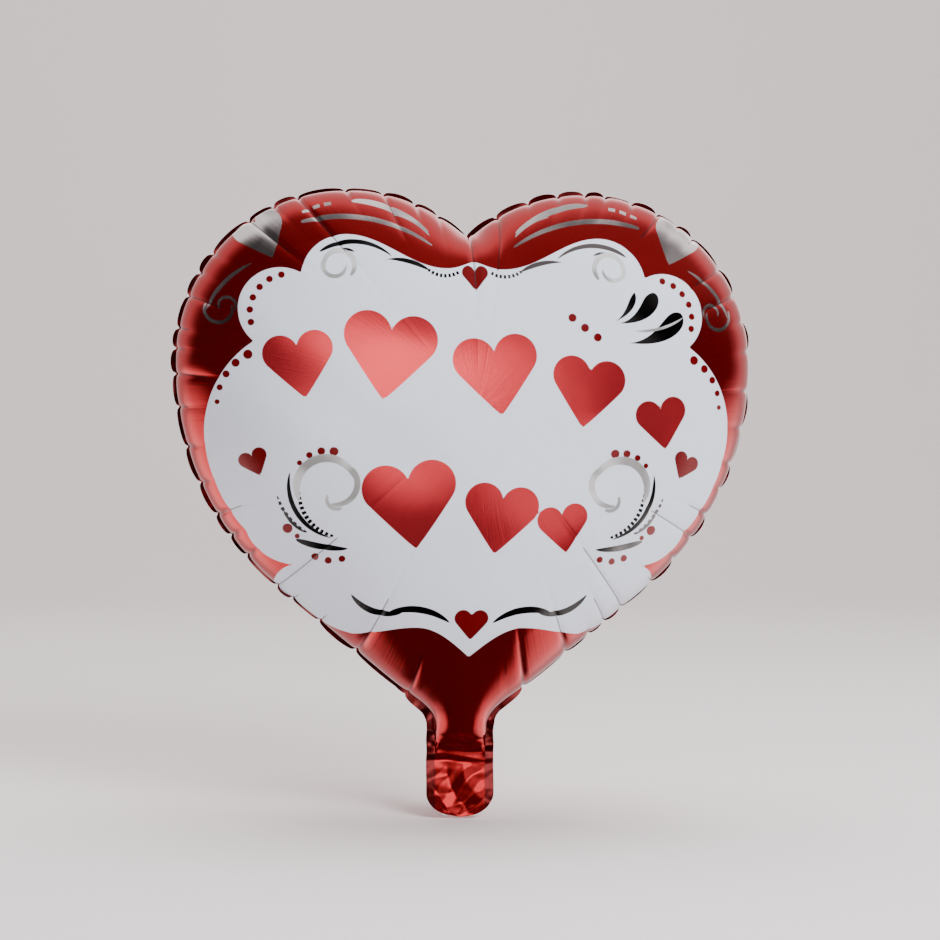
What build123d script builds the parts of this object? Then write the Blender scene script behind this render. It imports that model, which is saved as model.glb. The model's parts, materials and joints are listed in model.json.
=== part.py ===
"""Heart-shaped foil balloon, inflated, in millimetres. +Z is up and the printed front faces -Y.

The origin is the neck's tie point. Two film panels are fused along a flat hem; a two-film valve lies
between them from the end of the tail up into the balloon. The tail below the fold is its own body.
Film walls are thicker than real film so that every piece is a sound solid.
"""

import os
from math import atan2, cos, degrees, radians, sin, sqrt, tan

from build123d import *

# Overall sizes
WIDTH = 382.0  # hem edge to hem edge at the widest
DEPTH = 172.0  # front of the dome to back of the dome
NECK_WIDTH = 44.0
TAIL_LENGTH = 35.0  # below the fold
VALVE_LENGTH = 95.0  # from the tail's end into the balloon

# Heart outline
LOBE_R = 0.301 * WIDTH
SIDE_R = 0.5065 * WIDTH
TAPER = radians(39.5)  # lower sides, up from the horizontal
TIP_R = 0.055 * WIDTH
CLEFT_R = 3.0
NECK_FILLET = 14.0
SHOULDER_Z = 13.4  # where the lower side would meet the neck's edge
FOLD_Z = -18.0
TAIL_CORNER_R = 0.36 * NECK_WIDTH

# Films
FILM = 0.5
CROWN_EXTRA = 0.3  # more wall at the dome's top, where both faces are nearly flat
VALVE_FILM = 0.25
VALVE_GAP = 0.1
WELD = 2 * VALVE_FILM + VALVE_GAP
HEM = 6.0  # width of the fused edge
VALVE_SIDE_CLEARANCE = 1.5
FOLD_CLEARANCE = 0.4  # between the bodies with the tail turned a quarter turn
TAIL_TILT = 14.0  # degrees, the tail's end forward of the neck at rest

# Dome levels: share of the outline at each level, and how quickly the film turns over
LEVELS = [1.0, 0.985, 0.94, 0.86, 0.74, 0.58, 0.38, 0.18]
DOME_POWER = 2.7
CLEFT_SOFTENING = 150.0  # extra cleft radius at the dome's top
TIP_SOFTENING = 110.0  # and extra tip radius

# Derived sizes
HALF = WIDTH / 2
NECK_HALF = NECK_WIDTH / 2
CHANNEL_HALF = NECK_HALF - HEM
VALVE_HALF = CHANNEL_HALF - VALVE_SIDE_CLEARANCE
LAYER = WELD / 2 + FILM  # mid plane to the outer face of a flat panel
FOLD_GAP = LAYER + FOLD_CLEARANCE  # from the fold to each body's edge
SIDE_END_X = HALF - SIDE_R * (1 - sin(TAPER))
LOBE_X = HALF - LOBE_R
LOBE_Z = SHOULDER_Z + (SIDE_END_X - NECK_HALF) * tan(TAPER) + SIDE_R * cos(TAPER)
MIDDLE_Z = LOBE_Z - 0.075 * WIDTH  # the dome's top
SIDE_END_Z = LOBE_Z - SIDE_R * cos(TAPER)
TAIL_END_Z = FOLD_Z - TAIL_LENGTH

# Neck tube: height, half width and depth of each section of its outer face
NECK_SECTIONS = [
    (SHOULDER_Z + 15.0, CHANNEL_HALF + 12.0, CHANNEL_HALF + 14.0),
    (SHOULDER_Z + 1.0, CHANNEL_HALF + 2.5, CHANNEL_HALF + 3.0),
    (SHOULDER_Z - 12.0, CHANNEL_HALF + 0.2, CHANNEL_HALF - 7.0),
    (FOLD_Z + 9.0, CHANNEL_HALF, 4.6),
    (FOLD_Z + 3.5, CHANNEL_HALF, 1.8),
]


def arc_points(x, z, radius, start, end):
    """Start, middle and end of an arc about (x, z); angles in degrees from +X."""
    angles = [radians(start), radians((start + end) / 2), radians(end)]
    return [(x + radius * cos(a), z + radius * sin(a)) for a in angles]


def mirrored(points):
    return [(-x, z) for x, z in reversed(points)]


def heart_arcs(inset, soften=0.0):
    """The heart outline moved in by inset: its cleft, right lobe, right side and tip arcs."""
    cleft_r = CLEFT_R + CLEFT_SOFTENING * soften
    tip_r = TIP_R + TIP_SOFTENING * soften
    tip_z = tip_r / cos(TAPER) + SIDE_END_Z - SIDE_END_X * tan(TAPER)
    lobe_r = LOBE_R - inset
    notch_r = cleft_r + inset
    rise = sqrt((lobe_r + notch_r) ** 2 - LOBE_X**2)
    meet = degrees(atan2(rise, -LOBE_X))
    lower = degrees(TAPER) - 90
    lobe = arc_points(LOBE_X, LOBE_Z, lobe_r, meet, 0)
    side = arc_points(HALF - SIDE_R, LOBE_Z, SIDE_R - inset, 0, lower)
    tip = arc_points(0, tip_z, tip_r - inset, lower, -180 - lower)
    notch = [mirrored([lobe[0]])[0], (0, LOBE_Z + rise - notch_r), lobe[0]]
    return notch, lobe, side, tip


def wire(path, share=1.0, y=0.0):
    """Arcs and lines through points in X and Z, shrunk to a share about the dome's middle."""
    edges = []
    for points in path:
        placed = [(x * share, y, MIDDLE_Z + (z - MIDDLE_Z) * share) for x, z in points]
        edges.append(Line(*placed) if len(placed) == 2 else ThreePointArc(*placed))
    return Wire(edges)


def heart_wire(inset, share=1.0, y=0.0):
    """One level of the dome; the cleft and the tip get rounder towards its top."""
    notch, lobe, side, tip = heart_arcs(inset, 1 - share)
    taper = [side[2], tip[0]]
    left = [mirrored(taper), mirrored(side), mirrored(lobe)]
    return wire([notch, lobe, side, taper, tip] + left, share, y)


def outline_wire():
    """The flat outline above the fold, hem included: the heart, the neck and their fillets."""
    notch, lobe, side, tip = heart_arcs(0)
    reach = NECK_FILLET * tan((radians(90) - TAPER) / 2)
    corner_z = SHOULDER_Z - reach
    fillet = arc_points(NECK_HALF + NECK_FILLET, corner_z, NECK_FILLET, 90 + degrees(TAPER), 180)
    taper = [side[2], fillet[0]]
    stem = [fillet[2], (NECK_HALF, FOLD_Z + FOLD_GAP)]
    base = [stem[1], mirrored(stem)[0]]
    right = [lobe, side, taper, fillet, stem]
    left = [mirrored(points) for points in reversed(right)]
    return wire([notch] + right + [base] + left)


def dome(inset, depth):
    """A closed solid from the mid plane side of the hem out to depth on the front."""
    sections = []
    for share in LEVELS:
        y = -WELD / 2 - (depth - WELD / 2) * sqrt(1 - share**DOME_POWER)
        sections.append(heart_wire(inset, share, y))
    sections.append(Vertex(0, -depth, MIDDLE_Z))
    return Solid.make_loft(sections)


def neck(wall):
    """The softly filled tube from the heart's tip to the flat tail, shrunk by a wall."""
    sections = []
    for z, half, depth in NECK_SECTIONS:
        left = (-half + wall, -WELD / 2, z)
        right = (half - wall, -WELD / 2, z)
        front = (0, -WELD / 2 - depth + wall, z)
        sections.append(Wire([ThreePointArc(left, front, right), Line(right, left)]))
    return Solid.make_loft(sections)


def flat(face, start, thickness):
    """A flat layer whose near side is at Y = start and which is thickness deep towards +Y."""
    return extrude(face.moved(Location((0, start, 0))), thickness, dir=(0, 1, 0))


def upright_rectangle(half, low, high):
    points = [(-half, 0, low), (half, 0, low), (half, 0, high), (-half, 0, high)]
    return Face(Wire.make_polygon([Vector(*p) for p in points]))


def tail_face():
    """The tail's flat outline below the fold, with its two end corners rounded."""
    strip = upright_rectangle(NECK_HALF, TAIL_END_Z, FOLD_Z - FOLD_GAP)
    corners = strip.vertices().filter_by_position(Axis.Z, TAIL_END_Z - 0.1, TAIL_END_Z + 0.1)
    return strip.fillet_2d(TAIL_CORNER_R, corners)


def save(name, solid):
    solid.label = name
    export_step(solid, os.path.join("parts", name + ".step"))
    print(name, round(solid.volume, 1), "mm3")


os.makedirs("parts", exist_ok=True)

# Panels: flat hem and neck layer, dome and neck tube, hollowed by the same shapes one film in
outline = Face(outline_wire())
panel = flat(outline, -LAYER, FILM) + dome(HEM, DEPTH / 2) + neck(0)
panel = panel - dome(HEM + FILM, DEPTH / 2 - FILM - CROWN_EXTRA) - neck(FILM)
front_panel = panel.solid()
back_panel = front_panel.mirror(Plane.XZ)

# Weld band: the fused hem between the panels, open where the valve passes
cavity = Face(heart_wire(HEM + FILM))
channel = upright_rectangle(CHANNEL_HALF, FOLD_Z, SHOULDER_Z + NECK_HALF)
band = flat(outline, -WELD / 2, WELD) - flat(cavity, -WELD, 2 * WELD) - flat(channel, -WELD, 2 * WELD)
seam_weld = band.solid()

# Valve films above the fold
valve_top = TAIL_END_Z + VALVE_LENGTH
valve = upright_rectangle(VALVE_HALF, FOLD_Z + FOLD_GAP, valve_top)
valve_front = flat(valve, -WELD / 2, VALVE_FILM).solid()
valve_back = valve_front.mirror(Plane.XZ)

# Tail: two films, their fused edges and the valve's mouth, all tilted about the fold
tail = tail_face()
mouth = upright_rectangle(CHANNEL_HALF, TAIL_END_Z - 1, FOLD_Z)
lips = upright_rectangle(VALVE_HALF, TAIL_END_Z - 1, FOLD_Z - FOLD_GAP)
edges = (flat(tail, -WELD / 2, WELD) - flat(mouth, -WELD, 2 * WELD)).solids().sort_by(Axis.X)
tail_front = flat(tail, -LAYER, FILM).solid()
lip_front = (flat(lips, -WELD / 2, VALVE_FILM) & flat(tail, -LAYER, FILM + WELD)).solid()
tail_pieces = {
    "tail_front": tail_front,
    "tail_back": tail_front.mirror(Plane.XZ),
    "tail_weld_left": edges[0],
    "tail_weld_right": edges[1],
    "valve_mouth_front": lip_front,
    "valve_mouth_back": lip_front.mirror(Plane.XZ),
}

save("front_panel", front_panel)
save("back_panel", back_panel)
save("seam_weld", seam_weld)
save("valve_front", valve_front)
save("valve_back", valve_back)
fold = Axis((0, 0, FOLD_Z), (1, 0, 0))
for name, solid in tail_pieces.items():
    save(name, solid.rotate(fold, -TAIL_TILT))
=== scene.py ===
"""Heart-shaped foil balloon: two printed film panels, fused hem, valve films and a plain stage."""

import json
import math

import bpy
import numpy as np
from bpy.props import FloatProperty, FloatVectorProperty, IntProperty, PointerProperty
from mathutils import Matrix, Vector


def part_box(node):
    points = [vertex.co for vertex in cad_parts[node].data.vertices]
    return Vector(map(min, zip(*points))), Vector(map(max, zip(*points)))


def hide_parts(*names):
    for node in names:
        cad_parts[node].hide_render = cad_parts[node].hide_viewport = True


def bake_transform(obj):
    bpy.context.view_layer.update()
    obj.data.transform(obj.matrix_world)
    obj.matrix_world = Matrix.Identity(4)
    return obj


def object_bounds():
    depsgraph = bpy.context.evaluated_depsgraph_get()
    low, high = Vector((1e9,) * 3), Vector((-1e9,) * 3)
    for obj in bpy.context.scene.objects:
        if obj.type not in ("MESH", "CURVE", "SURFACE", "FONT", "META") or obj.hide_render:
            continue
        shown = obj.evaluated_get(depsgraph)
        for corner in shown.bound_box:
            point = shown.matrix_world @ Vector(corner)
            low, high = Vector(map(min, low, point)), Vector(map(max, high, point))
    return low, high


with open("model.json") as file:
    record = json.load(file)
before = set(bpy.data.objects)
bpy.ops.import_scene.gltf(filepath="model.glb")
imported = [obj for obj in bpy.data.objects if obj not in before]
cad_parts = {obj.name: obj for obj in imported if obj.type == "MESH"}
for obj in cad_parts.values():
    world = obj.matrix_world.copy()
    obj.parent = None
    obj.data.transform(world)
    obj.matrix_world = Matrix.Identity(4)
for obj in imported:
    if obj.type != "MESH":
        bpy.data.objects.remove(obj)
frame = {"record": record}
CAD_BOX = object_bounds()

bl_info = {
    "name": "Heart foil balloon",
    "version": (1, 0, 0),
    "blender": (4, 5, 0),
    "location": "View3D > Sidebar > Balloon",
    "description": "Builds a filled heart-shaped foil balloon with its print, hem, valve and stage",
    "category": "Add Mesh",
}

MM = 0.001
PANEL_LOW, PANEL_HIGH = [np.array(corner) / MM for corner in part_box("front_panel")]
TAIL_LOW, TAIL_HIGH = [np.array(corner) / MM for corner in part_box("tail_front")]
VALVE_HIGH = np.array(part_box("valve_front")[1]) / MM
FOLD_Z = frame["record"]["behaviour"]["joints"][0]["pos_m"][2] / MM
TAIL_TILT = 14.0  # degrees forward at rest

# ---------------------------------------------------------------------------------------- outline


def ramp(value, start, end):
    """0 up to start, 1 from end on, and straight between; start may be above end."""
    return np.clip((value - start) / (end - start), 0, 1)


def arc(x, z, radius, start, end, n=120):
    """n points of a circle arc about (x, z); angles in degrees from +X."""
    a = np.radians(np.linspace(start, end, n))
    return np.stack([x + radius * np.cos(a), z + radius * np.sin(a)], 1)


def circle_through(a, b, c):
    """Centre x and z, radius, first angle and signed sweep of the arc from a through b to c."""
    a, b, c = (complex(*p) for p in (a, b, c))
    w = (c - a) / (b - a)
    centre = (b - a) * (w - abs(w) ** 2) / (2j * w.imag) + a
    start, sweep = np.angle(a - centre), np.angle((c - centre) / (a - centre))
    middle = np.angle((b - centre) / (a - centre))
    if (sweep < 0) != (middle < 0) or abs(middle) > abs(sweep):
        sweep -= math.copysign(2 * math.pi, sweep)
    return centre.real, centre.imag, abs(a - centre), float(start), float(sweep)


def through(a, b, c, n=40):
    """n points of the circle arc that starts at a, passes b and ends at c."""
    x, z, radius, start, sweep = circle_through(a, b, c)
    return arc(x, z, radius, math.degrees(start), math.degrees(start + sweep), n)


def resample(path, step):
    """Points about a step apart along a path, with its outward normals and distances along it."""
    run = np.r_[0, np.cumsum(np.hypot(*np.diff(path, axis=0).T))]
    at = np.linspace(0, run[-1], max(2, int(round(run[-1] / step)) + 1))
    points = np.stack([np.interp(at, run, path[:, i]) for i in (0, 1)], 1)
    ahead = np.stack([np.interp(at + 0.4, run, path[:, i]) for i in (0, 1)], 1)
    behind = np.stack([np.interp(at - 0.4, run, path[:, i]) for i in (0, 1)], 1)
    tangent = ahead - behind
    tangent /= np.hypot(*tangent.T)[:, None]
    return points, np.stack([-tangent[:, 1], tangent[:, 0]], 1), at


class Outline:
    """The balloon's flat edge: cleft, lobe, side, straight taper, fillet and neck, as arcs."""

    LOBE_SHARE = 0.602  # radius of a lobe, over half the width
    SIDE_SHARE = 1.013  # radius of a side, over half the width
    MIDDLE_SHARE = 0.15  # the filling's middle below the lobes' centres, over half the width
    TAPER = math.radians(39.5)  # the straight lower side, up from the horizontal
    CLEFT_R = 3.0
    FILLET_R = 14.0
    STEP = 0.25  # between points along it

    def __init__(self, hem):
        self.half = PANEL_HIGH[0]
        self.hem = hem
        self.neck = TAIL_HIGH[0]
        self.lobe_r = self.LOBE_SHARE * self.half
        self.side_r = self.SIDE_SHARE * self.half
        self.lobe_x = self.half - self.lobe_r
        self.lobe_z = PANEL_HIGH[2] - self.lobe_r
        self.middle = np.array([0.0, self.lobe_z - self.MIDDLE_SHARE * self.half])

    def right(self, inset, low):
        """The right half moved in by inset, from the cleft down to the height low."""
        lobe_r, cleft_r = self.lobe_r - inset, self.CLEFT_R + inset
        rise = math.sqrt((lobe_r + cleft_r) ** 2 - self.lobe_x**2)
        meet = math.degrees(math.atan2(rise, -self.lobe_x))
        side_x = self.half - self.side_r
        lower = math.degrees(self.TAPER) - 90
        side_end = arc(side_x, self.lobe_z, self.side_r, lower, lower, 1)[0]
        shoulder = side_end[1] - (side_end[0] - self.neck) * math.tan(self.TAPER)
        fillet_x = self.neck + self.FILLET_R
        fillet_z = shoulder - self.FILLET_R * math.tan((math.pi / 2 - self.TAPER) / 2)
        start = arc(0, self.lobe_z + rise, cleft_r, -90, meet - 180)
        arcs = [
            arc(self.lobe_x, self.lobe_z, lobe_r, meet, 0),
            arc(side_x, self.lobe_z, self.side_r - inset, 0, lower),
            arc(fillet_x, fillet_z, self.FILLET_R + inset, 90 + math.degrees(self.TAPER), 180),
        ]
        well_below = np.array([[self.neck - inset, low - 60.0]])
        path = np.concatenate([start] + [points[1:] for points in arcs] + [well_below])
        path, _, _ = resample(path, self.STEP)
        return path[: np.argmax(path[:, 1] < low)]

    def side_at(self, z):
        """The filled part's edge and its outward normal at heights z on the right of the neck."""
        path, normal, _ = resample(self.right(self.hem, TAIL_LOW[2] - 5.0), 2 * self.STEP)
        tail = path[:, 1] < self.lobe_z
        heights = path[tail][::-1, 1]
        x = np.interp(z, heights, path[tail][::-1, 0])
        nx = np.interp(z, heights, normal[tail][::-1, 0])
        nz = np.interp(z, heights, normal[tail][::-1, 1])
        size = np.hypot(nx, nz)
        return x, np.stack([nx / size, nz / size], 1)


class Filling:
    """How far the film stands off the mid plane. The square of the height solves Poisson's equation
    on the outline: a constant source, and zero along the edge. The solution is a paraboloid plus
    logarithms of the distance to points just outside the edge, fitted by least squares."""

    STEP = 1.6  # between points along the edge where the film is held to the mid plane
    OUTSIDE = 4.0  # from the edge out to the points of the logarithms
    END = FOLD_Z + 3.5  # where the neck's filling ends
    FADE = 24.0  # height over which it fades out

    def __init__(self, outline, depth):
        right = outline.right(outline.hem, FOLD_Z - 30.0)
        right, normal, _ = resample(right, self.STEP)
        left, left_normal = right[::-1] * [-1, 1], normal[::-1] * [-1, 1]
        base = np.linspace(right[-1], left[0], 24)[1:-1]
        down = np.tile([0.0, -1.0], (len(base), 1))
        edge = np.concatenate([right, base, left[:-1]])
        outward = np.concatenate([normal, down, left_normal[:-1]])
        self.middle = outline.middle
        self.sources = (edge + self.OUTSIDE * outward)[::2]
        self.weights = np.zeros(len(self.sources) + 1)
        self.weights = np.linalg.lstsq(self.terms(edge), self.bowl(edge), rcond=1e-11)[0]
        near_middle = self.middle + np.stack([np.zeros(81), np.linspace(-40, 40, 81)], 1)
        self.scale = depth / math.sqrt(self.raised(near_middle).max())

    def terms(self, points):
        """The logarithm of the distance from each point to each source, and a constant."""
        gap = points[:, None, :] - self.sources[None]
        logs = 0.5 * np.log((gap**2).sum(-1) + 1e-12)
        return np.concatenate([logs, np.ones((len(points), 1))], 1)

    def bowl(self, points):
        """The paraboloid whose Laplacian is 1."""
        return ((points - self.middle) ** 2).sum(1) / 4

    def raised(self, points):
        """The solution at each point, a few thousand at a time; zero outside the edge."""
        flat = points.reshape(-1, 2)
        parts = np.array_split(flat, max(1, len(flat) // 6000))
        found = np.concatenate([self.terms(p) @ self.weights - self.bowl(p) for p in parts])
        return np.maximum(found, 0.0).reshape(points.shape[:-1])

    def height(self, points):
        """Stand-off at each point, faded out down the neck to the flat tail."""
        t = np.clip((points[..., 1] - self.END) / self.FADE, 0, 1)
        return self.scale * np.sqrt(self.raised(points)) * t * t * (3 - 2 * t)


# For the right half and then the left: a seed, and the long creases' distances along the edge from
# the cleft, reaches in from it and shares of the full depth
CREASES = (
    (5, [
        (24, 30, 0.8), (132, 22, 0.8), (206, 26, 0.9), (372, 42, 0.7), (437, 58, 0.8), (484, 34, 0.9),
        (520, 30, 1.0),
    ]),
    (9, [
        (116, 46, 0.9), (150, 34, 0.8), (212, 22, 0.8), (262, 20, 0.8), (356, 16, 0.8), (416, 52, 0.8),
        (482, 42, 1.0), (526, 26, 1.0),
    ]),
)


class Puckers:
    """Cells between the creases that run in from the edge, at distances along it. Between creases
    the film swells past the seam; at a crease both the seam and the film are drawn in as a cusp,
    which fades inward over the crease's own reach. The two panels share the cells but not the reach."""

    SPACING = 19.5
    UNEVEN = (0.66, 1.34)  # each space, over the mean
    DEPTH = 1.65
    SHORT_REACH = (2.5, 6.5)
    LONG_REACH = (12.0, 26.0)
    LONG_SHARE = 0.12  # of the creases
    CLEFT_REACH = {-1: 36.0, 1: 40.0}
    LAST_CELL = 24.0
    FAR = 9.0  # stands for no crease nearby

    def __init__(self, length, pucker, seed, marks):
        rng = np.random.default_rng(seed)
        depth = self.DEPTH * pucker
        at = np.cumsum(rng.uniform(*self.UNEVEN, int(length / self.SPACING) + 8) * self.SPACING)
        self.at = np.r_[0.0, at[at < length - 0.5 * self.SPACING]]
        n = len(self.at)
        self.depth = rng.uniform(0.55, 1.0, n) * depth
        self.reach = {}
        for sign in (-1, 1):
            reach = rng.uniform(*self.SHORT_REACH, n)
            long = rng.random(n) < self.LONG_SHARE
            reach[long] = rng.uniform(*self.LONG_REACH, long.sum())
            reach[0] = self.CLEFT_REACH[sign]
            self.reach[sign] = reach
        self.depth[0] = depth
        for place, reach, share in marks:
            k = 1 + np.argmin(abs(self.at[1:] - place))
            self.at[k], self.reach[-1][k], self.depth[k] = place, reach, share * depth
        self.side = np.where(np.arange(n + 1) % 2, 1.0, -1.0) * rng.uniform(0.35, 1.0, n + 1)
        self.swell = rng.uniform(0.7, 1.0, n + 1)

    def snap(self, columns):
        """Moves each crease to the nearest grid column so that its cusp stays sharp."""
        self.at = columns[np.abs(columns[None] - self.at[:, None]).argmin(1)]
        return self

    def cell(self, along):
        """Which cell each distance is in, and its share of the way across that cell."""
        edges = np.r_[self.at, self.at[-1] + self.LAST_CELL]
        k = np.clip(np.searchsorted(edges, along, "right") - 1, 0, len(edges) - 2)
        return k, np.clip((along - edges[k]) / (edges[k + 1] - edges[k]), 0, 1)

    def swelling(self, along):
        """The film's swelling past the seam: a bulge in each cell, zero at each crease."""
        k, x = self.cell(along)
        return self.swell[k] * np.sin(np.pi * x) ** 0.6

    def cusps(self, along, inset, sign):
        """How far the creases draw the film in."""
        drawn = np.zeros(inset.shape)
        for at, reach, depth in zip(self.at, self.reach[sign], self.depth):
            width = 1.25 + 0.035 * np.minimum(inset, 40.0)
            beside = np.exp(-np.abs(along - at)[None] / width)
            drawn += depth * beside * np.exp(-((inset / reach) ** 1.5))
        return drawn

    def gap(self, along, inset, sign, share):
        """Distance to the nearest crease's line, growing past the end of its reach."""
        found = np.full(inset.shape, self.FAR)
        for at, reach in zip(self.at, self.reach[sign]):
            near = np.abs(along - at)[None] * share + 0.35 * np.maximum(inset - 0.9 * reach, 0)
            found = np.minimum(found, near)
        return found

    def sway(self, along):
        """The hem's lean to the front or back, per cell, zero at each crease."""
        k, x = self.cell(along)
        return self.side[k] * np.sin(np.pi * x) ** 0.8


# ------------------------------------------------------------------------------- film and its mesh


def cells_between(index):
    """Quads between the neighbouring rows and columns of a grid of vertex numbers."""
    return np.stack([index[:-1, :-1], index[1:, :-1], index[1:, 1:], index[:-1, 1:]], -1).reshape(-1, 4)


OTHER_WAY = [0, 3, 2, 1]  # a quad's corners, turned over


def zigzag(wave):
    """A triangle wave between -0.5 and 0.5, one tooth for each 1 in wave."""
    return 2 * np.abs(wave - np.floor(wave) - 0.5) - 0.5


class Film:
    """The panels' shared grid, in millimetres. The filled part is a fan of rays from the middle to
    the edge; the hem is the edge moved out along its normal; the neck and the tail are rows from
    one side to the other, which start on the fan's lowest ray ends."""

    THROAT = 26.0  # height where the fan ends and the neck's rows start
    HEM_ROWS = 6
    NECK_ROWS = 77
    ACROSS = 1.1  # mean distance between the neck's columns
    GAP = 0.3  # from the mid plane to each panel's flat parts
    SWELL = 3.5  # how far the film bulges past its seam
    NECK_SWELL = 0.6  # the neck's bulge, over that
    SHOULDER = (45.0, 85.0)  # heights between which edge distances go from sideways to radial
    CREASE_END = 16.0  # creases fade out over this much of the edge above the throat
    TURN = 22.0  # distance in from the seam over which a bulge turns from outward to forward
    WAVES = 9
    WAVE_SIZES = (38, 105)
    WAVE_HEIGHT = 0.0042  # over the wave's size
    HEM_LEAN = 4.0  # of its outer edge to the front or back
    WELD_PAST = 0.16  # how far the fused layer shows past the films' edges
    WELD_HALF = (0.12, 0.2, 0.2, 0.2, 0.2)  # half its thickness, from the seam to its outer edge
    TAIL_BOW = 15.0  # height of the tail's rounded end
    VALVE_BOW = 12.0  # and of the valve's
    # The tail's facets: direction, size, shift and height of each slanted wave
    FACETS = (
        (0.5, 27.0, 0.2, 1.5),
        (1.9, 19.0, 0.55, 1.25),
        (-0.75, 13.5, 0.1, 0.6),
        (1.35, 8.0, 0.7, 0.15),
        (2.6, 5.4, 0.3, 0.05),
    )

    def __init__(self, hem, depth, pitch, crinkle, rows, tilt, pucker):
        self.outline = Outline(hem)
        self.filling = Filling(self.outline, depth)
        self.hem_steps = np.linspace(0, hem, self.HEM_ROWS + 1)
        self.crinkle = crinkle
        self.tilt = math.radians(tilt)
        self.swell = self.SWELL * pucker
        right, normal, run = resample(self.outline.right(hem, self.THROAT), pitch)
        length = run[-1]
        self.cells = [Puckers(length, pucker, *half).snap(run) for half in CREASES]
        self.across = np.sin(np.linspace(-1, 1, int(2 * right[-1, 0] / self.ACROSS)) * math.pi / 2)
        throat = np.stack([-self.across * right[-1, 0], np.full(len(self.across), right[-1, 1])], 1)
        left = right[::-1] * [-1, 1]
        self.edge = np.concatenate([right[:-1], throat, left[1:-1]])
        self.normal = np.concatenate([normal[:-1], throat * 0 + [0, -1], normal[::-1][1:-1] * [-1, 1]])
        self.normal[len(right) - 1] = normal[-1]
        self.normal[len(right) + len(throat) - 2] = normal[-1] * [-1, 1]
        self.run = np.concatenate([run[:-1], throat[:, 0] * 0 + length, run[::-1][1:-1]])
        n, m = len(right) - 1, len(self.across)
        self.right_side = np.arange(n + 1)
        self.left_side = np.arange(n + m - 1, len(self.edge))
        self.halves = ((self.right_side, self.cells[0]), (self.left_side, self.cells[1]))
        self.low_edge = slice(self.right_side[-1], self.left_side[0] + 1)
        self.lay_fan(rows, length)

    def lay_fan(self, rows, length):
        """The fan's rays and rings, its smooth height and its distance in from the edge."""
        centre = self.outline.middle
        rays = self.edge - centre
        size = np.hypot(*rays.T)
        self.toward = rays / size[:, None]
        self.shares = np.sin(np.linspace(0, 1, rows + 1)[1:] * math.pi / 2)
        self.flat = centre + self.shares[:, None, None] * rays[None]
        self.height = self.filling.height(self.flat)
        rim = np.r_[self.right_side, self.left_side]
        self.height[-1, rim[np.abs(self.run[rim] - length) > 1e-6]] = 0.0
        square_on = np.clip((self.toward * self.normal).sum(1), 0.3, 1)
        radial = (1 - self.shares)[:, None] * (size * square_on)[None]
        x, normal = self.outline.side_at(self.flat[..., 1].ravel())
        beside = np.maximum(x - np.abs(self.flat[..., 0].ravel()), 0) * np.abs(normal[:, 0])
        high = ramp(self.flat[..., 1], *self.SHOULDER)
        self.inset = high * radial + (1 - high) * beside.reshape(high.shape)
        low_way = self.sideways(self.flat[..., 0], normal.reshape(self.flat.shape))
        self.way = high[..., None] * self.normal[None] + (1 - high)[..., None] * low_way
        self.faded = ramp(length - self.run, 0.0, self.CREASE_END)

    def sideways(self, x, normal):
        """The neck side's outward normal on both sides, with no part across on the middle line."""
        return np.stack([np.tanh(x / 6.0) * normal[..., 0], normal[..., 1] + 0 * x], -1)

    def standing(self, inset):
        """Shares of a movement off the film that go outward and forward: all outward at the edge,
        turning forward as the film does."""
        turn = np.sqrt(self.TURN + inset)
        return math.sqrt(self.TURN) / turn, np.sqrt(inset) / turn

    def swollen(self, inset):
        """The swelling's profile: none at the seam, most just inside it, gone in the middle."""
        return (1 - np.exp(-inset / 0.5)) * np.exp(-((inset / 11.0) ** 1.2))

    def lift(self, sign):
        """Movement off the smooth film on the fan's grid."""
        out = np.repeat((self.NECK_SWELL * self.swell * (1 - self.faded))[None], len(self.shares), 0)
        drawn = np.zeros(out.shape)
        for columns, cells in self.halves:
            run, fade = self.run[columns], self.faded[columns]
            swell = self.swell * (0.8 + 0.2 * cells.swelling(run))
            out[:, columns] += (fade * swell)[None]
            drawn[:, columns] = cells.cusps(run, self.inset[:, columns], sign) * fade
        return out * self.swollen(self.inset) - drawn

    def soft_waves(self, flat, inset, sign):
        """Slow waves all over the film, from a few sines with seeded directions."""
        rng = np.random.default_rng(21 + sign)
        total = np.zeros(inset.shape)
        for _ in range(self.WAVES):
            turn = rng.uniform(0, math.pi)
            size = rng.uniform(*self.WAVE_SIZES)
            shift = rng.uniform(0, 6.28)
            along = flat[..., 0] * math.cos(turn) + flat[..., 1] * math.sin(turn)
            total += self.WAVE_HEIGHT * size * np.sin(2 * math.pi * along / size + shift)
        above = ramp(flat[..., 1], self.THROAT, self.THROAT + 30.0)
        return total * ramp(inset, 0.0, 30.0) ** 1.5 * above

    def middle_surface(self, x, z):
        """The neck and tail's shared mid surface: wrinkles across the neck's end, a bend at the
        fold, and below it facets from slanted triangle waves that grow down the tail."""
        below = FOLD_Z - z
        past = 0.5 * (below + np.sqrt(below**2 + 5.0))
        grow = ramp(z, -14.0, -25.0)
        facets = np.zeros_like(z)
        for angle, size, shift, height in self.FACETS:
            bend = 0.1 * np.sin(x / 7.0 + 5 * shift) + 0.08 * np.sin(z / 6.0 + 3 * shift)
            wave = (x * math.cos(angle) + z * math.sin(angle)) / size + shift + bend
            facets += height * zigzag(wave)
        across = ramp(z, 6.0, -2.0) * ramp(z - FOLD_Z, -3.0, 3.0)
        wave = z / 8.6 + 0.06 * np.sin(x / 6.0) + 0.01 * x
        wrinkle = 1.5 * across * zigzag(wave)
        y = self.crinkle * grow * facets + wrinkle - math.sin(self.tilt) * past
        return y, z + (1 - math.cos(self.tilt)) * past

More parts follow.
